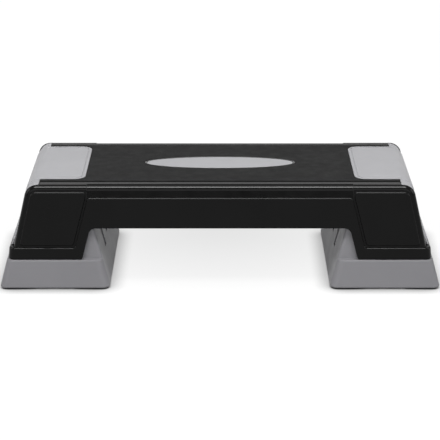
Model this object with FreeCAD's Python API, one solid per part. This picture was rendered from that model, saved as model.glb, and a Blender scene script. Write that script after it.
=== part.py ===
import FreeCAD, Part
import os
from math import acos, sin, tan
from FreeCAD import Vector

# An aerobic step: a moulded deck with an inlaid tread and two end caps, standing on two plug-in risers.
# Millimetres. X runs along the step, Y from front to back, Z up.
# The origin is on the floor under the middle of the step.

# Heights above the floor
HEIGHT = 164.0
SHELF = 162.8
SEAT = 161.0
PLATE_UNDERSIDE = 157.3
APRON_TOP = 144.5
APRON_BOTTOM = 97.0
RIM_TOP = 66.0
RIM_BOTTOM = 47.0
FOOT_LIFT = 2.0

# Deck: half sizes at the shelf, and how far the walls lean out per millimetre down
DECK_HALF_LENGTH = 296.1
DECK_HALF_DEPTH = 122.0
END_LEAN = 0.2295
FRONT_LEAN = 0.085
DECK_END_RADIUS = 20.0
DECK_EDGE_RADIUS = 8.0
FASCIA_HALF = 204.0
FASCIA_SUNK = 2.2
FASCIA_LEAN = 0.19
FASCIA_EDGE_RADIUS = 10.0
WALL = 3.0

# Deck: the lower band that stands proud of the walls and ends in the rim
BAND_PROUD = 3.5
BAND_INNER = 203.0
BAND_LEAN = 0.258
BAND_EDGE_RADIUS = 2.0
BAND_TOP_CORNER = 5.0
BAND_FOOT_CORNER = 6.0
RIM_HALF_LENGTH = 327.0
RIM_LEAN = 0.105
RIM_CORNER = 11.0
RIM_FOOT_RADIUS = 2.6
RIM_WALL = 3.2

# Deck: the arch between the legs
ARCH_HALF = 199.5
ARCH_LEAN = 0.26
ARCH_RADIUS = 11.0
LEG_TOE_RADIUS = 6.0
LEG_TOE_RUNOUT = 0.3

# Deck: the raised panel on each leg
PANEL_PROUD = 3.0
PANEL_EDGE_RADIUS = 2.4
PANEL_GROOVE = 3.0
PANEL_BORDER = 9.0
PANEL_TOP = 153.5
PANEL_TOP_RADIUS = 9.0
PANEL_INNER_RADIUS = 4.0
PANEL_WAIST_RADIUS = 30.0
PANEL_TOE_RADIUS = 5.0
PANEL_FOOT_RADIUS = 4.0

# Deck: ribs under the plate
RIB = 3.0
RIB_PITCH = 55.0
RIB_END_GAP = 2.0
LEG_RIB_BOTTOM = 52.0
BEAM_RIB_BOTTOM = 112.0
CROSS_RIB_BOTTOM = 120.0
CROSS_RIB_PITCH = 62.0
LEG_CROSS_RIB = 248.0
LEG_CROSS_RIB_BOTTOM = 143.0

# Tread, badge and end caps
TREAD_HALF_LENGTH = 278.0
TREAD_HALF_DEPTH = 100.0
TREAD_CORNER = 3.0
PAD_INNER = 208.7
PAD_HALF_DEPTH = 90.0
PAD_CORNER = 18.0
BADGE_HALF_LENGTH = 116.0
BADGE_HALF_DEPTH = 29.5
BADGE_FRAME = 4.2
BADGE_TOP = 163.8
BADGE_PEG = 6.0
BADGE_PEG_X = 70.0
BADGE_PEG_Y = 14.0
EDGE_BREAK = 0.8
CAP_HALF_LENGTH = 297.1
CAP_HALF_DEPTH = 116.0
CAP_LEAN = 0.186
CAP_FOOT = 324.3
CAP_FOOT_LEAN = 0.42
CAP_FLARE_RADIUS = 340.0
CAP_WALL = 3.0
CAP_END_RADIUS = 23.0
CAP_SIDE_SUNK = 1.5
CAP_SIDE_RADIUS = 1.2
CAP_LINE_INSET = 4.0
CAP_LINE_WIDTH = 1.8
CAP_LINE_DEPTH = 0.9
CAP_FOOT_GAP = 0.2
CAP_WEB = 2.5
CAP_WEB_TOP = 78.0
HOOK_ROWS = (226.0, 266.0)
HOOK_Y = 63.0
HOOK_WIDTH = 10.0
HOOK_THICKNESS = 2.0
HOOK_BARB = 1.2
HOOK_REACH = 4.0
FIT = 0.3

# Risers
FOOT_OUTER = 340.7
FOOT_INNER = 169.5
FOOT_HALF_DEPTH = 140.25
FOOT_OUTER_LEAN = 0.265
FOOT_INNER_LEAN = 0.265
FOOT_FRONT_LEAN = 0.089
FOOT_OUTER_CORNER = 10.0
FOOT_INNER_CORNER = 12.0
PLUG_TOP = 138.0
PLUG_OUTER = 316.5
PLUG_HALF_DEPTH = 127.3
PLUG_LEAN = 0.26
PLUG_FRONT_LEAN = 0.10
PLUG_OUTER_CORNER = 28.0
PLUG_INNER_CORNER = 5.0
PLUG_TOP_RADIUS = 3.0
SHOULDER_RADIUS = 2.2
FOOT_BOTTOM_RADIUS = 2.5
RISER_WALL = 3.2
SLOT = 16.0
SLOT_BOTTOM = 50.0
SLOT_MOUTH_BOTTOM = 44.0
SLOT_MOUTH_END = 288.0
FOOT_RIB_BOTTOM = 6.0
FOOT_RIB_OFFSET = 27.0

# Rubber pads
PAD_DIAMETER = 22.0
PAD_DEPTH = 4.0
PAD_STEM = 8.0
PAD_STEM_TOP = 12.0
PAD_EDGE_RADIUS = 1.0
BOSS_DIAMETER = 26.0
RISER_PAD_OUTER_X = 314.0
RISER_PAD_INNER_X = 197.0
RISER_PAD_Y = 118.0
DECK_PAD_X = 316.0
DECK_PAD_Y = 122.0
DECK_PAD_DIAMETER = 12.0
DECK_PAD_DROP = 1.5
DECK_PAD_STEM = 6.0
DECK_PAD_POCKET_DEPTH = 2.5
DECK_PAD_POCKET_GAP = 1.0
DECK_BOSS_DIAMETER = 14.0

# A reach past every side of the step, for cutting tools, how far a tool overlaps what it meets,
# and how near an edge has to lie to a face to belong to it
FAR = 360.0
OVERLAP = 1.0
NEAR = 0.01


def half_length(z):
    """Half the length of the deck walls at height z."""
    return DECK_HALF_LENGTH + END_LEAN * (SHELF - z)


def half_depth(z):
    """Half the depth of the deck walls at height z."""
    return DECK_HALF_DEPTH + FRONT_LEAN * (SHELF - z)


def fascia_depth(z):
    """Half the depth of the sunk fascia between the legs at height z."""
    return DECK_HALF_DEPTH - FASCIA_SUNK + FASCIA_LEAN * (SHELF - z)


def cap_upper(z, inset):
    """X of the end cap's upper outer face at height z, moved in by inset."""
    return CAP_HALF_LENGTH + CAP_LEAN * (HEIGHT - z) - inset * (1 + CAP_LEAN ** 2) ** 0.5


def cap_lower(z, inset):
    """X of the end cap's flared foot at height z, moved in by inset."""
    return CAP_FOOT + CAP_FOOT_LEAN * (RIM_TOP - z) - inset * (1 + CAP_FOOT_LEAN ** 2) ** 0.5


def cap_knee(inset):
    """The point where the cap's upper face and its foot would meet, moved in by inset."""
    z = (cap_lower(0, inset) - cap_upper(0, inset)) / (CAP_FOOT_LEAN - CAP_LEAN)
    return cap_upper(z, inset), z


def band_edge(z):
    """X of the band's slanting edge beside the leg panel at height z."""
    return BAND_INNER + BAND_LEAN * (APRON_TOP - z)


def rim_half_length(z):
    """Half the length of the rim at height z."""
    return RIM_HALF_LENGTH - RIM_LEAN * (z - RIM_BOTTOM)


def foot_inner(z):
    """X of the riser's inner wall at height z."""
    return FOOT_INNER + FOOT_INNER_LEAN * (z - FOOT_LIFT)


def rounded_wire(corners, radii):
    """A closed wire through the corners, each rounded to its radius."""
    edges = []
    entries = []
    exits = []
    arcs = []
    count = len(corners)
    for i in range(count):
        corner = corners[i]
        back = (corners[i - 1] - corner).normalize()
        ahead = (corners[(i + 1) % count] - corner).normalize()
        if radii[i] == 0:
            entries.append(corner)
            exits.append(corner)
            arcs.append(None)
            continue
        half_angle = acos(back.dot(ahead)) / 2
        reach = radii[i] / tan(half_angle)
        bisector = (back + ahead).normalize()
        middle = corner + bisector * (radii[i] / sin(half_angle) - radii[i])
        entries.append(corner + back * reach)
        exits.append(corner + ahead * reach)
        arcs.append(Part.Arc(entries[i], middle, exits[i]).toShape())
    for i in range(count):
        if arcs[i]:
            edges.append(arcs[i])
        following = entries[(i + 1) % count]
        if (following - exits[i]).Length > 1e-6:
            edges.append(Part.LineSegment(exits[i], following).toShape())
    return Part.Wire(edges)


def along_y(points, radii, half):
    """A prism of an XZ outline from -half to half in Y."""
    wire = rounded_wire([Vector(x, -half, z) for x, z in points], radii)
    return Part.Face(wire).extrude(Vector(0, 2 * half, 0))


def along_x(points, radii, half):
    """A prism of a YZ outline from -half to half in X."""
    wire = rounded_wire([Vector(-half, y, z) for y, z in points], radii)
    return Part.Face(wire).extrude(Vector(2 * half, 0, 0))


def mirrored(points):
    """The outline's points followed by their mirror images, back to the start side."""
    return points + [(-x, z) for x, z in reversed(points)]


def upright(points, radii, bottom, top):
    """A prism of an XY outline between two heights."""
    wire = rounded_wire([Vector(x, y, bottom) for x, y in points], radii)
    return Part.Face(wire).extrude(Vector(0, 0, top - bottom))


def block(x0, x1, y0, y1, z0, z1):
    """A box between two corners."""
    return Part.makeBox(x1 - x0, y1 - y0, z1 - z0, Vector(x0, y0, z0))


def level_rectangle(x0, x1, half_y, z, radii):
    """A level rounded rectangle, its radii in the order of its corners from (x0, -half_y)."""
    corners = [Vector(x0, -half_y, z), Vector(x1, -half_y, z), Vector(x1, half_y, z), Vector(x0, half_y, z)]
    return rounded_wire(corners, radii)


def tapered(lower, upper):
    """A solid with straight sides between two level outlines."""
    return Part.makeLoft([lower, upper], True, True)


def oval(half_x, half_y, bottom, top):
    """An upright elliptical disc."""
    edge = Part.Ellipse(Vector(0, 0, bottom), half_x, half_y).toShape()
    return Part.Face(Part.Wire([edge])).extrude(Vector(0, 0, top - bottom))


def post(x, y, diameter, bottom, top):
    """An upright cylinder."""
    return Part.makeCylinder(diameter / 2, top - bottom, Vector(x, y, bottom))


def depth_wedge(proud, bottom, top):
    """The space between the leaning front and back walls, each moved out by proud."""
    low = half_depth(bottom) + proud
    high = half_depth(top) + proud
    return along_x([(-low, bottom), (low, bottom), (high, top), (-high, top)], [0, 0, 0, 0], FAR)


def middle_of(edge):
    """The point halfway along an edge."""
    return edge.valueAt((edge.FirstParameter + edge.LastParameter) / 2)


def wall_outline(shape, proud):
    """The edges that lie on the front or back wall moved out by proud."""
    found = []
    for edge in shape.Edges:
        points = [vertex.Point for vertex in edge.Vertexes] + [middle_of(edge)]
        if all(abs(abs(p.y) - half_depth(p.z) - proud) < NEAR for p in points):
            found.append(edge)
    return found


def level_edges(shape, z):
    """The edges that lie at height z."""
    return [e for e in shape.Edges if abs(e.BoundBox.ZMin - z) < NEAR and abs(e.BoundBox.ZMax - z) < NEAR]


def deck_walls():
    """The deck's leaning walls and top, solid: rounded ends, and a fascia that is sunk between the legs."""
    outline = mirrored([(-half_length(RIM_BOTTOM), RIM_BOTTOM), (-DECK_HALF_LENGTH, SHELF)])
    radii = [0, DECK_END_RADIUS, DECK_END_RADIUS, 0]
    ends = along_y(outline, radii, FAR).common(depth_wedge(0, RIM_BOTTOM, SHELF))
    edges = [edge for edge in wall_outline(ends, 0) if middle_of(edge).z > RIM_BOTTOM + OVERLAP]
    ends = ends.makeFillet(DECK_EDGE_RADIUS, edges)
    between = block(-FASCIA_HALF, FASCIA_HALF, -FAR, FAR, 0, 2 * HEIGHT)
    low = APRON_TOP - OVERLAP
    foot = fascia_depth(low)
    profile = mirrored([(-foot, RIM_BOTTOM), (-foot, low), (-fascia_depth(SHELF), SHELF)])
    radii = [0, 0, FASCIA_EDGE_RADIUS, FASCIA_EDGE_RADIUS, 0, 0]
    return ends.cut(between).fuse(along_x(profile, radii, FASCIA_HALF))


def rim_outline(z, inset):
    """The level outline of the rim and band at height z, moved in by inset."""
    half_x = rim_half_length(z) - inset
    return level_rectangle(-half_x, half_x, half_depth(z) + BAND_PROUD - inset, z, [RIM_CORNER - inset] * 4)


def deck_band():
    """The proud band: the apron, the inner edges of the legs and the rim, in one piece."""
    outline = mirrored([
        (-FAR, RIM_BOTTOM),
        (-FAR, RIM_TOP),
        (-band_edge(RIM_TOP), RIM_TOP),
        (-BAND_INNER, APRON_TOP),
    ])
    corners = [0, 0, BAND_FOOT_CORNER, BAND_TOP_CORNER]
    radii = corners + corners[::-1]
    body = tapered(rim_outline(RIM_BOTTOM, 0), rim_outline(SHELF, 0))
    band = along_y(outline, radii, FAR).common(body)
    edges = []
    for edge in band.Edges:
        middle = middle_of(edge)
        runs_across = abs(middle.y) < OVERLAP and abs(middle.x) < band_edge(RIM_BOTTOM)
        if edge.BoundBox.ZMin > RIM_BOTTOM + OVERLAP and not runs_across:
            edges.append(edge)
    band = band.makeFillet(BAND_EDGE_RADIUS, edges)
    return band.makeFillet(RIM_FOOT_RADIUS, level_edges(band, RIM_BOTTOM))


def leg_panels():
    """The raised panels on the front and back of the left leg, as one block through it."""
    bottom = RIM_TOP + PANEL_GROOVE
    inner = BAND_INNER + PANEL_GROOVE
    outline = [
        (-(half_length(bottom) - PANEL_BORDER), bottom),
        (-(half_length(PANEL_TOP) - PANEL_BORDER), PANEL_TOP),
        (-inner, PANEL_TOP),
        (-inner, APRON_TOP),
        (-(band_edge(bottom) + PANEL_GROOVE), bottom),
    ]
    radii = [PANEL_FOOT_RADIUS, PANEL_TOP_RADIUS, PANEL_INNER_RADIUS, PANEL_WAIST_RADIUS, PANEL_TOE_RADIUS]
    body = along_y(outline, radii, FAR).common(depth_wedge(PANEL_PROUD, RIM_BOTTOM, SHELF))
    return body.makeFillet(PANEL_EDGE_RADIUS, wall_outline(body, PANEL_PROUD))


def deck_hollow():
    """The space inside the deck, with the wider space inside the rim."""
    floor = RIM_BOTTOM - OVERLAP
    seat = CAP_WALL + FIT
    meeting = (cap_lower(0, seat) - half_length(0)) / (CAP_FOOT_LEAN - END_LEAN)
    knee_x, knee_z = cap_knee(seat + WALL)
    outline = mirrored([
        (-(half_length(floor) - WALL), floor),
        (-(half_length(meeting) - WALL), meeting),
        (-knee_x, knee_z),
        (-cap_upper(PLATE_UNDERSIDE, seat + WALL), PLATE_UNDERSIDE),
    ])
    corners = [0, 0, 0, CAP_END_RADIUS - CAP_WALL - WALL]
    radii = corners + corners[::-1]
    depths = mirrored([
        (-(half_depth(floor) - WALL), floor),
        (-(half_depth(PLUG_TOP) - WALL), PLUG_TOP),
        (-(fascia_depth(SHELF) - WALL), PLATE_UNDERSIDE),
    ])
    inside = along_y(outline, radii, FAR).common(along_x(depths, [0] * len(depths), FAR))
    in_rim = tapered(rim_outline(floor, RIM_WALL), rim_outline(RIM_TOP - RIM_WALL, RIM_WALL))
    return inside.fuse(in_rim)


def arch():
    """The opening between the legs, right through from front to back; its toes round out under the rim."""
    low = RIM_BOTTOM - LEG_TOE_RUNOUT
    toe = ARCH_HALF + ARCH_LEAN * (APRON_BOTTOM - low)
    beyond = toe + 3 * LEG_TOE_RADIUS
    outline = mirrored([(-beyond, 0), (-beyond, low), (-toe, low), (-ARCH_HALF, APRON_BOTTOM)])
    corners = [0, 0, LEG_TOE_RADIUS, ARCH_RADIUS]
    return along_y(outline, corners + corners[::-1], FAR)


def deck_ribs(body):
    """The ribs under the plate, kept inside the body: three along it, the rest across it."""
    top = PLATE_UNDERSIDE + OVERLAP
    outline = mirrored([
        (-FAR, top),
        (-FAR, LEG_RIB_BOTTOM),
        (-(foot_inner(LEG_RIB_BOTTOM) + RIB_END_GAP), LEG_RIB_BOTTOM),
        (-(foot_inner(BEAM_RIB_BOTTOM) + RIB_END_GAP), BEAM_RIB_BOTTOM),
    ])
    along = along_y(outline, [0] * len(outline), RIB / 2)
    ribs = [along.translated(Vector(0, y, 0)) for y in (-RIB_PITCH, 0, RIB_PITCH)]
    for step in range(-3, 4):
        x = step * CROSS_RIB_PITCH
        ribs.append(block(x - RIB / 2, x + RIB / 2, -FAR, FAR, CROSS_RIB_BOTTOM, top))
    for x in (-LEG_CROSS_RIB, LEG_CROSS_RIB):
        ribs.append(block(x - RIB / 2, x + RIB / 2, -FAR, FAR, LEG_CROSS_RIB_BOTTOM, top))
    return [rib.common(body) for rib in ribs]


def hook_places():
    """Where the right-hand cap's hooks pass through the plate, as x, y and the barb's side."""
    return [(x, side * HOOK_Y, side) for x in HOOK_ROWS for side in (-1, 1)]


def badge_peg_places():
    """Where the badge's pegs pass through the plate."""
    return [(x, y) for x in (-BADGE_PEG_X, BADGE_PEG_X) for y in (-BADGE_PEG_Y, BADGE_PEG_Y)]


def cap_seat():
    """What the right-hand end cap needs cut out of the deck."""
    start = TREAD_HALF_LENGTH - OVERLAP
    low = RIM_TOP + OVERLAP
    over = 2 * HEIGHT
    inset = CAP_WALL + FIT
    outline = [
        (start, SEAT),
        (cap_upper(SEAT, inset), SEAT),
        cap_knee(inset),
        (cap_lower(low, inset), low),
        (FAR, low),
        (FAR, over),
        (start, over),
    ]
    radii = [0, CAP_END_RADIUS - CAP_WALL, CAP_FLARE_RADIUS + inset, 0, 0, 0, 0]
    seat = along_y(outline, radii, CAP_HALF_DEPTH + FIT)
    for x, y, side in hook_places():
        reach = sorted((y - side * FIT, y + side * (HOOK_THICKNESS + HOOK_BARB + FIT)))
        half = HOOK_WIDTH / 2 + FIT
        below = PLATE_UNDERSIDE - OVERLAP
        seat = seat.fuse(block(x - half, x + half, reach[0], reach[1], below, SEAT + OVERLAP))
    return seat


def tread_seat():
    """The sunk seat of the tread and badge, with the holes for the badge's pegs."""
    half_x = TREAD_HALF_LENGTH + FIT
    half_y = TREAD_HALF_DEPTH + FIT
    corners = [(-half_x, -half_y), (half_x, -half_y), (half_x, half_y), (-half_x, half_y)]
    seat = upright(corners, [TREAD_CORNER + FIT] * 4, SEAT, 2 * HEIGHT)
    for x, y in badge_peg_places():
        seat = seat.fuse(post(x, y, BADGE_PEG + FIT, PLATE_UNDERSIDE - OVERLAP, SEAT + OVERLAP))
    return seat


def badge_frame():
    """The raised oval bead on the deck round the badge, rounded on top."""
    wide = BADGE_FRAME - FIT
    outer = oval(BADGE_HALF_LENGTH + wide, BADGE_HALF_DEPTH + wide, SEAT - OVERLAP, BADGE_TOP)
    bead = outer.cut(oval(BADGE_HALF_LENGTH + FIT, BADGE_HALF_DEPTH + FIT, 0, HEIGHT))
    return bead.makeFillet(EDGE_BREAK, level_edges(bead, BADGE_TOP))


def deck_pad_places():
    """Where the rubber pads sit under the deck's legs."""
    return [(x, y) for x in (-DECK_PAD_X, DECK_PAD_X) for y in (-DECK_PAD_Y, DECK_PAD_Y)]


def deck_shell():
    """The black moulded deck: walls, band, panels, arch, ribs and the seats for the other pieces."""
    panels = leg_panels()
    other_panels = panels.mirror(Vector(0, 0, 0), Vector(1, 0, 0))
    body = deck_walls().multiFuse([deck_band(), panels, other_panels]).removeSplitter()
    shell = body.cut(deck_hollow()).cut(arch())
    added = deck_ribs(body)
    pad_top = RIM_BOTTOM - DECK_PAD_DROP + PAD_DEPTH
    for x, y in deck_pad_places():
        added.append(post(x, y, DECK_BOSS_DIAMETER, pad_top, RIM_TOP - OVERLAP))
    shell = shell.multiFuse(added)
    right_seat = cap_seat()
    left_seat = right_seat.mirror(Vector(0, 0, 0), Vector(1, 0, 0))
    shell = shell.cut(tread_seat()).cut(right_seat).cut(left_seat)
    for x, y in deck_pad_places():
        shell = shell.cut(post(x, y, DECK_PAD_STEM, pad_top - OVERLAP, pad_top + PAD_STEM_TOP - PAD_DEPTH))
    return shell.fuse(badge_frame()).removeSplitter()


def pad_zone(grow):
    """The space of the right-hand cap's pad, seen from above, grown by a gap."""
    inner = PAD_INNER - grow
    half_y = PAD_HALF_DEPTH + grow
    corners = [(inner, -half_y), (FAR, -half_y), (FAR, half_y), (inner, half_y)]
    radius = PAD_CORNER + grow
    return upright(corners, [radius, 0, 0, radius], 0, 2 * HEIGHT)


def tread_mat():
    """The textured tread: a sheet that leaves room for the caps' pads and the badge."""
    half_x = TREAD_HALF_LENGTH
    half_y = TREAD_HALF_DEPTH
    corners = [(-half_x, -half_y), (half_x, -half_y), (half_x, half_y), (-half_x, half_y)]
    sheet = upright(corners, [TREAD_CORNER] * 4, SEAT, HEIGHT)
    right = pad_zone(FIT)
    left = right.mirror(Vector(0, 0, 0), Vector(1, 0, 0))
    opening = oval(BADGE_HALF_LENGTH + BADGE_FRAME, BADGE_HALF_DEPTH + BADGE_FRAME, 0, 2 * HEIGHT)
    sheet = sheet.cut(right).cut(left).cut(opening)
    return sheet.makeFillet(EDGE_BREAK, level_edges(sheet, HEIGHT))


def badge_plate():
    """The blank oval plate with its four pegs."""
    plate = oval(BADGE_HALF_LENGTH, BADGE_HALF_DEPTH, SEAT, BADGE_TOP)
    plate = plate.makeFillet(EDGE_BREAK, level_edges(plate, BADGE_TOP))
    pegs = [post(x, y, BADGE_PEG, PLATE_UNDERSIDE, SEAT + OVERLAP) for x, y in badge_peg_places()]
    return plate.multiFuse(pegs).removeSplitter()


def cap_hook(x, y, side):
    """One of the cap's snap hooks, its barb under the plate."""
    low = PLATE_UNDERSIDE - FIT
    outline = [
        (y, SEAT + OVERLAP),
        (y + side * HOOK_THICKNESS, SEAT + OVERLAP),
        (y + side * HOOK_THICKNESS, low),
        (y + side * (HOOK_THICKNESS + HOOK_BARB), low),
        (y + side * HOOK_THICKNESS / 2, low - HOOK_REACH),
        (y, low - HOOK_REACH),
    ]
    return along_x(outline, [0] * len(outline), HOOK_WIDTH / 2).translated(Vector(x, 0, 0))


def cap_roll(inset, half):
    """The right-hand cap's outer form as a block, moved in by inset, from -half to half in Y."""
    bottom = RIM_TOP + CAP_FOOT_GAP
    top = HEIGHT - inset
    outline = [
        (PAD_INNER, bottom),
        (PAD_INNER, top),
        (cap_upper(top, inset), top),
        cap_knee(inset),
        (cap_lower(bottom, inset), bottom),
    ]
    return along_y(outline, [0, 0, CAP_END_RADIUS - inset, CAP_FLARE_RADIUS + inset, 0], half)


def cap_rim(form, half):
    """The edges of a cap form that a finger meets: round the pad and down both sides."""
    found = []
    for edge in form.Edges:
        middle = middle_of(edge)
        points = [vertex.Point for vertex in edge.Vertexes] + [middle]
        across = abs(middle.y) < OVERLAP and middle.x > TREAD_HALF_LENGTH - OVERLAP
        on_top = all(abs(p.z - HEIGHT) < NEAR for p in points)
        on_side = all(abs(abs(p.y) - half) < NEAR for p in points)
        down_side = on_side and middle.x > TREAD_HALF_LENGTH + OVERLAP and middle.z > RIM_TOP + OVERLAP
        if down_side or on_top and not across:
            found.append(edge)
    return found


def cap_inside():
    """The space behind the right-hand cap's wall and under its pad."""
    low = RIM_TOP - OVERLAP
    outline = [
        (0, low),
        (0, SEAT),
        (cap_upper(SEAT, CAP_WALL), SEAT),
        cap_knee(CAP_WALL),
        (cap_lower(low, CAP_WALL), low),
    ]
    return along_y(outline, [0, 0, CAP_END_RADIUS - CAP_WALL, CAP_FLARE_RADIUS + CAP_WALL, 0], FAR)


def cap_webs():
    """The webs that close the cap's sides and stiffen it where it stands off the deck's end wall."""
    bottom = RIM_TOP + CAP_FOOT_GAP
    outline = [
        (half_length(bottom) + FIT, bottom),
        (cap_lower(bottom, CAP_WALL) + OVERLAP, bottom),
        (cap_lower(CAP_WEB_TOP, CAP_WALL) + OVERLAP, CAP_WEB_TOP),
        (half_length(CAP_WEB_TOP) + FIT, CAP_WEB_TOP),
    ]
    web = along_y(outline, [0] * len(outline), CAP_WEB / 2)
    side = CAP_HALF_DEPTH - CAP_WEB / 2 - CAP_SIDE_RADIUS
    return [web.translated(Vector(0, y, 0)) for y in (-side, -RIB_PITCH, 0, RIB_PITCH, side)]


def end_cap():
    """The right-hand end cap: a raised pad that rolls over the end to the rim, between two sunk sides."""
    pad = cap_roll(0, PAD_HALF_DEPTH).common(pad_zone(0)).removeSplitter()
    pad = pad.makeFillet(EDGE_BREAK, cap_rim(pad, PAD_HALF_DEPTH))
    end = block(TREAD_HALF_LENGTH + FIT, FAR, -FAR, FAR, 0, 2 * HEIGHT)
    sides = cap_roll(CAP_SIDE_SUNK, CAP_HALF_DEPTH).common(end)
    sides = sides.makeFillet(CAP_SIDE_RADIUS, cap_rim(sides, CAP_HALF_DEPTH))
    cap = pad.fuse(sides).cut(cap_inside())
    line = pad_zone(-CAP_LINE_INSET).cut(pad_zone(-CAP_LINE_INSET - CAP_LINE_WIDTH))
    cap = cap.cut(line.common(block(0, FAR, -FAR, FAR, HEIGHT - CAP_LINE_DEPTH, 2 * HEIGHT)))
    hooks = [cap_hook(x, y, side) for x, y, side in hook_places()]
    return cap.multiFuse(cap_webs() + hooks).removeSplitter()


def foot_outline(z, inset):
    """The level outline of the right-hand riser's foot at height z, moved in by inset."""
    rise = z - FOOT_LIFT
    outer = FOOT_OUTER - FOOT_OUTER_LEAN * rise - inset
    half_y = FOOT_HALF_DEPTH - FOOT_FRONT_LEAN * rise - inset
    near = FOOT_INNER_CORNER - inset
    away = FOOT_OUTER_CORNER - inset
    return level_rectangle(foot_inner(z) + inset, outer, half_y, z, [near, away, away, near])


def plug_outline(z, inset):
    """The level outline of the right-hand riser's plug at height z, moved in by inset."""
    rise = z - RIM_BOTTOM
    outer = PLUG_OUTER - PLUG_LEAN * rise - inset
    half_y = PLUG_HALF_DEPTH - PLUG_FRONT_LEAN * rise - inset
    near = PLUG_INNER_CORNER - inset
    away = PLUG_OUTER_CORNER - inset
    return level_rectangle(foot_inner(z) + inset, outer, half_y, z, [near, away, away, near])


def riser_pad_places():
    """Where the rubber pads sit under the right-hand riser, by name."""
    rows = (("front", -RISER_PAD_Y), ("back", RISER_PAD_Y))
    columns = (("inner", RISER_PAD_INNER_X), ("outer", RISER_PAD_OUTER_X))
    return {f"{row}_{column}": (x, y) for row, y in rows for column, x in columns}


def riser_body():
    """The right-hand riser as a closed solid: the foot and the plug on it."""
    foot = tapered(foot_outline(FOOT_LIFT, 0), foot_outline(RIM_BOTTOM, 0))
    foot = foot.makeFillet(SHOULDER_RADIUS, level_edges(foot, RIM_BOTTOM))
    foot = foot.makeFillet(FOOT_BOTTOM_RADIUS, level_edges(foot, FOOT_LIFT))
    plug = tapered(plug_outline(RIM_BOTTOM - RISER_WALL, 0), plug_outline(PLUG_TOP, 0))
    plug = plug.makeFillet(PLUG_TOP_RADIUS, level_edges(plug, PLUG_TOP))
    return foot.fuse(plug).removeSplitter()


def slot_space(wall):
    """The plug's three slots for the deck's ribs, widened by a wall; the outer two have a lower mouth."""
    half = SLOT / 2 + wall
    spaces = []
    for y in (-RIB_PITCH, 0, RIB_PITCH):
        spaces.append(block(0, FAR, y - half, y + half, SLOT_BOTTOM - wall, HEIGHT))
    for y in (-RIB_PITCH, RIB_PITCH):
        spaces.append(block(0, SLOT_MOUTH_END + wall, y - half, y + half, SLOT_MOUTH_BOTTOM - wall, HEIGHT))
    return spaces


def riser_ribs():
    """The ribs and the pad bosses inside the foot, running out past its walls."""
    top = RIM_BOTTOM - RISER_WALL + OVERLAP
    middle = (FOOT_OUTER + FOOT_INNER) / 2
    ribs = []
    for x in (middle - FOOT_RIB_OFFSET, middle + FOOT_RIB_OFFSET):
        ribs.append(block(x - RIB / 2, x + RIB / 2, -FAR, FAR, FOOT_RIB_BOTTOM, top))
    for y in (-RIB_PITCH, 0, RIB_PITCH):
        ribs.append(block(0, FAR, y - RIB / 2, y + RIB / 2, FOOT_RIB_BOTTOM, top))
    for x, y in riser_pad_places().values():
        ribs.append(post(x, y, BOSS_DIAMETER, FOOT_LIFT, top))
    return ribs


def riser():
    """The right-hand riser: an open-bottomed foot with a slotted plug that fills the deck's leg."""
    body = riser_body()
    foot_roof = RIM_BOTTOM - RISER_WALL
    plug_roof = PLUG_TOP - RISER_WALL
    in_foot = tapered(foot_outline(FOOT_LIFT - OVERLAP, RISER_WALL), foot_outline(foot_roof, RISER_WALL))
    in_plug = tapered(plug_outline(foot_roof - OVERLAP, RISER_WALL), plug_outline(plug_roof, RISER_WALL))
    inside = in_foot.fuse(in_plug).cut(slot_space(RISER_WALL))
    shell = body.cut(inside).multiFuse([rib.common(body) for rib in riser_ribs()])
    shell = shell.cut(slot_space(0))
    for x, y in riser_pad_places().values():
        shell = shell.cut(post(x, y, PAD_DIAMETER + FIT, 0, PAD_DEPTH))
        shell = shell.cut(post(x, y, PAD_STEM, 0, PAD_STEM_TOP + OVERLAP))
    pocket = DECK_PAD_DIAMETER + 2 * DECK_PAD_POCKET_GAP
    for y in (-DECK_PAD_Y, DECK_PAD_Y):
        shell = shell.cut(post(DECK_PAD_X, y, pocket, RIM_BOTTOM - DECK_PAD_POCKET_DEPTH, HEIGHT))
    return shell.removeSplitter()


def rubber_pad(x, y, diameter, stem, bottom):
    """A turned rubber pad with a rounded tread and a stem that presses into its boss."""
    radius = diameter / 2
    top = bottom + PAD_DEPTH
    stem_top = bottom + PAD_STEM_TOP
    corners = [
        Vector(0, 0, bottom),
        Vector(radius, 0, bottom),
        Vector(radius, 0, top),
        Vector(stem / 2, 0, top),
        Vector(stem / 2, 0, stem_top),
        Vector(0, 0, stem_top),
    ]
    face = Part.Face(rounded_wire(corners, [0, PAD_EDGE_RADIUS, 0, 0, PAD_EDGE_RADIUS, 0]))
    return face.revolve(Vector(0, 0, 0), Vector(0, 0, 1), 360).translated(Vector(x, y, 0))


def build():
    """Every piece by name."""
    parts = {"deck_shell": deck_shell(), "tread_mat": tread_mat(), "badge_plate": badge_plate()}
    cap = end_cap()
    right_riser = riser()
    for side, sign in (("right", 1), ("left", -1)):
        pieces = {f"end_cap_{side}": cap, f"riser_{side}": right_riser}
        for place, (x, y) in riser_pad_places().items():
            pieces[f"riser_pad_{side}_{place}"] = rubber_pad(x, y, PAD_DIAMETER, PAD_STEM, 0)
        deck_pad_bottom = RIM_BOTTOM - DECK_PAD_DROP
        for row, y in (("front", -DECK_PAD_Y), ("back", DECK_PAD_Y)):
            pad = rubber_pad(DECK_PAD_X, y, DECK_PAD_DIAMETER, DECK_PAD_STEM, deck_pad_bottom)
            pieces[f"deck_pad_{side}_{row}"] = pad
        for name, shape in pieces.items():
            parts[name] = shape if sign > 0 else shape.mirror(Vector(0, 0, 0), Vector(1, 0, 0))
    return parts


os.makedirs("parts", exist_ok=True)
for name, shape in build().items():
    shape.exportStep(f"parts/{name}.step")
    print(name, len(shape.Solids), shape.isValid(), round(shape.Volume / 1000, 1), "cm3")
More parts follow.
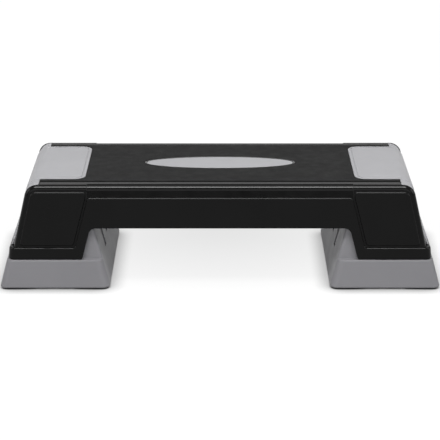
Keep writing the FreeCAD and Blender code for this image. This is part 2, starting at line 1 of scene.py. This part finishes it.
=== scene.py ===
import math
import bpy
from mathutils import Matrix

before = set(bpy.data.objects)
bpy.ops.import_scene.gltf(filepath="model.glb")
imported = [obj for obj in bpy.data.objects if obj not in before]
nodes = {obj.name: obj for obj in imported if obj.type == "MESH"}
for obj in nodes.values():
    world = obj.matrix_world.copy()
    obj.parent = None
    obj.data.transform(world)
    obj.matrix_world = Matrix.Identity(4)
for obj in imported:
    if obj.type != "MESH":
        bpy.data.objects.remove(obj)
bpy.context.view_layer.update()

# Lengths are in metres and powers in watts. The scales of noises and cells are counts per metre.

# Camera: the photograph's viewpoint, for a square image
CAMERA_PLACE = (0.0, -2.6711, 0.9631)
CAMERA_PITCH = math.radians(71.45)
CAMERA_LENS = 143.18
SENSOR = 36.0

# Stage: a square floor, a round wall behind the step and a far one in front, each wall by its
# radius and height. The stage throws light back on the step by one tone and is seen by a darker
# one, which the glow makes up for.
FLOOR_REACH = 24.0
BACK_WALL = (6.0, 1.35)
FAR_WALL = (24.0, 1.05)
WALL_SIDES = 64
TONE_THROWN = 0.35
TONE_SEEN = 0.10

# Glow: whitens the stage where it is seen, and grows with the distance from a place on the floor
# behind the step, where its shadow falls; the weaker glow near that place is a painted shadow of
# the step
PAINTED_SHADOW_CENTRE = (0.0, 0.2, 0.0)
GLOW_REACH = (0.03, 0.42)
GLOW = (0.743, 0.957)

# Shade: dims the glow beside what stands on the floor and in the gaps under it, and fades out with
# the distance from the glow's centre
CONTACT_REACH = 0.027
CONTACT_DEPTH = 1.35
GAP_REACH = 0.06
GAP_OPEN = (0.26, 0.52)
SHADE_REACH = (1.0, 1.5)
SHADE_SAMPLES = 16

# Light: an even fill, and soft boxes by name, place, size, power and the point that they face
WORLD_FILL = 0.21
STEP_MIDDLE = (0.0, 0.0, 0.1)
FRONT_EDGE = (0.0, -0.12, 0.16)
LAMPS = (
    ("strip", (0.0, -0.776, 1.783), (1.8, 0.45), 21.0, FRONT_EDGE),
    ("overhead", (0.0, -0.5, 2.25), (2.4, 2.0), 7.2, STEP_MIDDLE),
    ("front", (0.0, -2.6, 0.9), (5.0, 1.0), 29.0, STEP_MIDDLE),
    ("back", (0.0, 3.0, 1.6), (2.4, 1.1), 5.5, STEP_MIDDLE),
    ("fill", (0.0, 2.6, 0.5), (5.0, 0.6), 6.0, STEP_MIDDLE),
    ("side_left", (-2.4, -0.5, 1.0), (1.2, 1.2), 8.0, STEP_MIDDLE),
    ("side_right", (2.4, -0.5, 1.0), (1.2, 1.2), 8.0, STEP_MIDDLE),
)

# Finishes: the part of a noise's range that is spread over two tones or over a range of roughness
TONE_PART = (0.3, 0.7)
GLOSS_PART = (0.25, 0.75)
GRAIN_DETAIL = 2.0
BEVEL_SAMPLES = 8

# Paler edges, partly wear and partly a painted highlight: the cosine between a face and its
# rounded edge, from untouched to fully paled
WORN_AND_LIT_EDGE_TURN = (0.995, 0.85)

# Polish: on the rolls between walls and level tops, by the Z of their normal, and on the bead that
# stands above the deck's shelf, by its height
OFF_WALL = (0.3, 0.6)
OFF_TOP = (0.995, 0.9)
BEAD_FOOT = (0.1630, 0.1633)
POLISH_ROUGHNESS = 0.14

# Pebbles of the tread: ranges of the distance from a cell's middle for the pale crest and the dome
PEBBLE_SCALE = 620.0
PEBBLE_SMOOTHNESS = 0.6
PEBBLE_CREST = (0.45, 0.05)
PEBBLE_DOME = (0.0, 0.6)
PEBBLE_DEPTH = 0.00012


class Shader:
    """A material under construction. Values pass from node to node as output sockets."""

    def __init__(self, name):
        self.material = bpy.data.materials.new(name)
        self.material.use_nodes = True
        self.tree = self.material.node_tree
        self.tree.nodes.clear()

    def node(self, kind, inputs, **settings):
        """A new node, with sockets or constants for its inputs."""
        node = self.tree.nodes.new(kind)
        for key, value in settings.items():
            setattr(node, key, value)
        for key, value in inputs.items():
            if isinstance(value, bpy.types.NodeSocket):
                self.tree.links.new(value, node.inputs[key])
            else:
                node.inputs[key].default_value = value
        return node

    def value(self, kind, out, inputs, **settings):
        """One output of a new node."""
        return self.node(kind, inputs, **settings).outputs[out]

    def spread(self, source, part, onto=(0.0, 1.0)):
        """A value moved from one range to another."""
        ends = zip(("From Min", "From Max", "To Min", "To Max"), (*part, *onto))
        return self.value("ShaderNodeMapRange", "Result", {"Value": source, **dict(ends)})

    def join(self, operation, first, second):
        """Two values put together."""
        return self.value("ShaderNodeMath", 0, {0: first, 1: second}, operation=operation)

    def finish(self, shader):
        """The material, ended with its surface."""
        self.node("ShaderNodeOutputMaterial", {"Surface": shader})
        return self.material


class Finish(Shader):
    """A material of the step itself, laid out in each piece's own coordinates."""

    def __init__(self, name):
        super().__init__(name)
        self.place = self.value("ShaderNodeTexCoord", "Object", {})

    def noise(self, scale, detail):
        inputs = {"Vector": self.place, "Scale": scale, "Detail": detail}
        return self.value("ShaderNodeTexNoise", "Fac", inputs)

    def pebbles(self):
        """The distance from the middle of rounded cells, as in a leather-grained moulding."""
        inputs = {"Vector": self.place, "Scale": PEBBLE_SCALE, "Smoothness": PEBBLE_SMOOTHNESS}
        return self.value("ShaderNodeTexVoronoi", "Distance", inputs, feature="SMOOTH_F1")

    def blend(self, share, first, second):
        """A colour between two."""
        inputs = {0: share, 6: first, 7: second}
        return self.value("ShaderNodeMix", 2, inputs, data_type="RGBA")

    def tones(self, deep, pale, scale, detail):
        """A colour that drifts between two tones."""
        return self.blend(self.spread(self.noise(scale, detail), TONE_PART), deep, pale)

    def gloss(self, rough, scale, detail):
        """A roughness that drifts over a range."""
        return self.spread(self.noise(scale, detail), GLOSS_PART, rough)

    def rounded(self, radius):
        """The normal of the surface with its edges rounded off."""
        inputs = {"Radius": radius}
        return self.value("ShaderNodeBevel", "Normal", inputs, samples=BEVEL_SAMPLES)

    def worn_and_lit_edges(self, normal):
        """How far the edges turn paler, partly by wear and partly as a painted highlight, by the
        turn of a rounded normal from the face's own.
        """
        face = self.value("ShaderNodeNewGeometry", "Normal", {})
        inputs = {0: normal, 1: face}
        turn = self.value("ShaderNodeVectorMath", "Value", inputs, operation="DOT_PRODUCT")
        return self.spread(turn, WORN_AND_LIT_EDGE_TURN)

    def height(self, vector):
        """The Z of a vector."""
        return self.value("ShaderNodeSeparateXYZ", "Z", {"Vector": vector})

    def polished(self, weight):
        """A weight on the rolls and on the bead above the deck's shelf."""
        facing = self.height(self.value("ShaderNodeNewGeometry", "Normal", {}))
        off_wall = self.spread(facing, OFF_WALL, (0.0, weight))
        roll = self.join("MULTIPLY", off_wall, self.spread(facing, OFF_TOP))
        bead = self.spread(self.height(self.place), BEAD_FOOT, (0.0, weight))
        return self.join("MAXIMUM", roll, bead)

    def relief(self, height, depth, normal):
        """The normal with a bump of real depth laid over it."""
        inputs = {"Strength": 1.0, "Distance": depth, "Height": height, "Normal": normal}
        return self.value("ShaderNodeBump", "Normal", inputs)

    def grain(self, scale, depth, normal):
        """The normal with a fine grain."""
        return self.relief(self.noise(scale, GRAIN_DETAIL), depth, normal)

    def surface(self, inputs):
        """The material, ended with a Principled shader."""
        return self.finish(self.value("ShaderNodeBsdfPrincipled", "BSDF", inputs))


def moulded(name, deep, pale, edge_wear_and_highlight, rough, specular, grain, edge_radius, polish=0.0):
    """Moulded plastic with a fine spark-eroded grain, tone drift and paler edges that are partly
    wear and partly a painted highlight.
    """
    s = Finish(name)
    rounded = s.rounded(edge_radius)
    tone = s.tones(deep, pale, scale=14.0, detail=3.0)
    # The paler edge colour is partly wear and partly a painted highlight on the rounded edges
    inputs = {
        "Base Color": s.blend(s.worn_and_lit_edges(rounded), tone, edge_wear_and_highlight),
        "Roughness": s.gloss(rough, scale=55.0, detail=5.0),
        "Specular IOR Level": specular,
        "Normal": s.grain(*grain, rounded),
    }
    if polish:
        inputs["Coat Weight"] = s.polished(polish)
        inputs["Coat Roughness"] = POLISH_ROUGHNESS
        inputs["Coat Normal"] = rounded
    return s.surface(inputs)


def tread_rubber(name, deep, pale, crest, rough, specular, grain, edge_radius):
    """Dark pebbled rubber with a fine grain."""
    s = Finish(name)
    pebbles = s.pebbles()
    tone = s.tones(deep, pale, scale=20.0, detail=4.0)
    dome = s.spread(pebbles, PEBBLE_DOME, (1.0, 0.0))
    domed = s.relief(dome, PEBBLE_DEPTH, s.rounded(edge_radius))
    return s.surface({
        "Base Color": s.blend(s.spread(pebbles, PEBBLE_CREST), tone, crest),
        "Roughness": s.gloss(rough, scale=70.0, detail=4.0),
        "Specular IOR Level": specular,
        "Normal": s.grain(*grain, domed),
    })


def pad_rubber(name, deep, pale, rough, specular, grain, edge_radius):
    """Matt rubber for the pads underneath."""
    s = Finish(name)
    return s.surface({
        "Base Color": s.tones(deep, pale, scale=90.0, detail=4.0),
        "Roughness": s.gloss(rough, scale=220.0, detail=3.0),
        "Specular IOR Level": specular,
        "Normal": s.grain(*grain, s.rounded(edge_radius)),
    })


def stage_white(name):
    """A matt surface that is white in the picture and in reflections, with soft shadows that are
    partly real and partly painted shade in its glow.
    """
    s = Shader(name)
    path = s.node("ShaderNodeLightPath", {}).outputs
    seen = s.join("MAXIMUM", path["Is Camera Ray"], path["Is Glossy Ray"])
    seen = s.join("MAXIMUM", seen, path["Is Transmission Ray"])

    def openness(reach):
        inputs = {"Distance": reach}
        return s.value("ShaderNodeAmbientOcclusion", "AO", inputs, samples=SHADE_SAMPLES)

    place = s.value("ShaderNodeNewGeometry", "Position", {})
    span = {0: place, 1: PAINTED_SHADOW_CENTRE}
    away = s.value("ShaderNodeVectorMath", "Value", span, operation="DISTANCE")
    # Painted shade: the glow is dimmed where ambient occlusion finds things close by
    contact = s.join("POWER", openness(CONTACT_REACH), CONTACT_DEPTH)
    gap = s.spread(openness(GAP_REACH), GAP_OPEN)
    shade = s.join("MULTIPLY", contact, gap)
    shade = s.join("MAXIMUM", shade, s.spread(away, SHADE_REACH))
    # Painted shadow: the glow is weakest near a place on the floor behind the step
    strength = s.join("MULTIPLY", seen, s.spread(away, GLOW_REACH, GLOW))
    strength = s.join("MULTIPLY", strength, shade)

    glow = s.value("ShaderNodeEmission", 0, {"Strength": strength})
    tone = s.spread(seen, (0.0, 1.0), (TONE_THROWN, TONE_SEEN))
    matt = s.value("ShaderNodeBsdfDiffuse", 0, {"Color": tone})
    return s.finish(s.value("ShaderNodeAddShader", 0, {0: matt, 1: glow}))


def stage_piece(name, corners, faces, material):
    """A piece of the studio, which isn't part of the object."""
    mesh = bpy.data.meshes.new(name)
    mesh.from_pydata(corners, [], faces)
    mesh.materials.append(material)
    piece = bpy.data.objects.new(name, mesh)
    bpy.context.collection.objects.link(piece)


def floor(material):
    r = FLOOR_REACH
    corners = [(-r, -r, 0.0), (r, -r, 0.0), (r, r, 0.0), (-r, r, 0.0)]
    stage_piece("floor", corners, [(0, 1, 2, 3)], material)


def wall(name, side, radius, top, material):
    """Half a ring on the floor: behind the step for side 1, in front of it for side -1."""
    turns = [side * math.pi * i / WALL_SIDES for i in range(WALL_SIDES + 1)]
    ring = [(radius * math.cos(t), radius * math.sin(t), z) for t in turns for z in (0.0, top)]
    faces = [(i, i + 2, i + 3, i + 1) for i in range(0, 2 * WALL_SIDES, 2)]
    stage_piece(name, ring, faces, material)


def lamp(name, place, size, power, target):
    """A rectangular soft box turned towards a point."""
    light = bpy.data.lights.new(name, "AREA")
    light.shape = "RECTANGLE"
    light.size, light.size_y = size
    light.energy = power
    box = bpy.data.objects.new(name, light)
    box.location = place
    x, y, z = (t - p for t, p in zip(target, place))
    tilt = math.atan2(math.hypot(x, y), -z)
    box.rotation_euler = (tilt, 0.0, math.atan2(x, -y) + math.pi)
    box.visible_camera = False
    bpy.context.collection.objects.link(box)


def studio():
    """Floor, walls, world, lamps and camera."""
    white = stage_white("stage_white")
    floor(white)
    wall("backdrop", 1, *BACK_WALL, white)
    wall("far_backdrop", -1, *FAR_WALL, white)

    world = bpy.data.worlds.new("studio")
    world.use_nodes = True
    background = world.node_tree.nodes["Background"]
    background.inputs["Color"].default_value = (1.0, 1.0, 1.0, 1.0)
    background.inputs["Strength"].default_value = WORLD_FILL
    bpy.context.scene.world = world

    for settings in LAMPS:
        lamp(*settings)

    camera = bpy.data.objects.new("camera", bpy.data.cameras.new("camera"))
    camera.location = CAMERA_PLACE
    camera.rotation_euler = (CAMERA_PITCH, 0.0, 0.0)
    camera.data.sensor_width = SENSOR
    camera.data.lens = CAMERA_LENS
    bpy.context.collection.objects.link(camera)
    bpy.context.scene.camera = camera
    bpy.context.scene.view_settings.view_transform = "Standard"


def colour(red, green, blue):
    return (red, green, blue, 1.0)


def grey(level):
    return colour(level, level, level)


def dress(material, *names):
    """Gives CAD pieces their finish."""
    for name in names:
        for slot in nodes[name].material_slots:
            slot.material = material


# Each edge colour below is paler than its tones, partly for wear and partly as a painted highlight
# Each grain is a scale and a depth
black = moulded(
    "deck_black_plastic",
    deep=grey(0.003),
    pale=grey(0.004),
    edge_wear_and_highlight=grey(0.03),
    rough=(0.12, 0.18),
    specular=0.115,
    grain=(2400.0, 0.000003),
    edge_radius=0.0007,
    polish=0.6,
)
light = moulded(
    "cap_light_grey_plastic",
    deep=colour(0.425, 0.424, 0.441),
    pale=colour(0.453, 0.452, 0.47),
    edge_wear_and_highlight=colour(0.52, 0.52, 0.535),
    rough=(0.42, 0.54),
    specular=0.35,
    grain=(1500.0, 0.00003),
    edge_radius=0.0006,
)
riser = moulded(
    "riser_grey_plastic",
    deep=colour(0.25, 0.247, 0.262),
    pale=colour(0.268, 0.265, 0.28),
    edge_wear_and_highlight=colour(0.31, 0.31, 0.32),
    rough=(0.42, 0.55),
    specular=0.3,
    grain=(1300.0, 0.00004),
    edge_radius=0.0007,
)
tread = tread_rubber(
    "tread_dark_rubber",
    deep=grey(0.016),
    pale=grey(0.018),
    crest=grey(0.021),
    rough=(0.62, 0.78),
    specular=0.12,
    grain=(2600.0, 0.00002),
    edge_radius=0.0006,
)
rubber = pad_rubber(
    "pad_black_rubber",
    deep=grey(0.012),
    pale=grey(0.022),
    rough=(0.68, 0.85),
    specular=0.3,
    grain=(1800.0, 0.00004),
    edge_radius=0.0005,
)

dress(black, "deck_shell")
dress(light, "end_cap_left", "end_cap_right", "badge_plate")
dress(riser, "riser_left", "riser_right")
dress(tread, "tread_mat")
dress(rubber, *[name for name in nodes if "_pad_" in name])

studio()
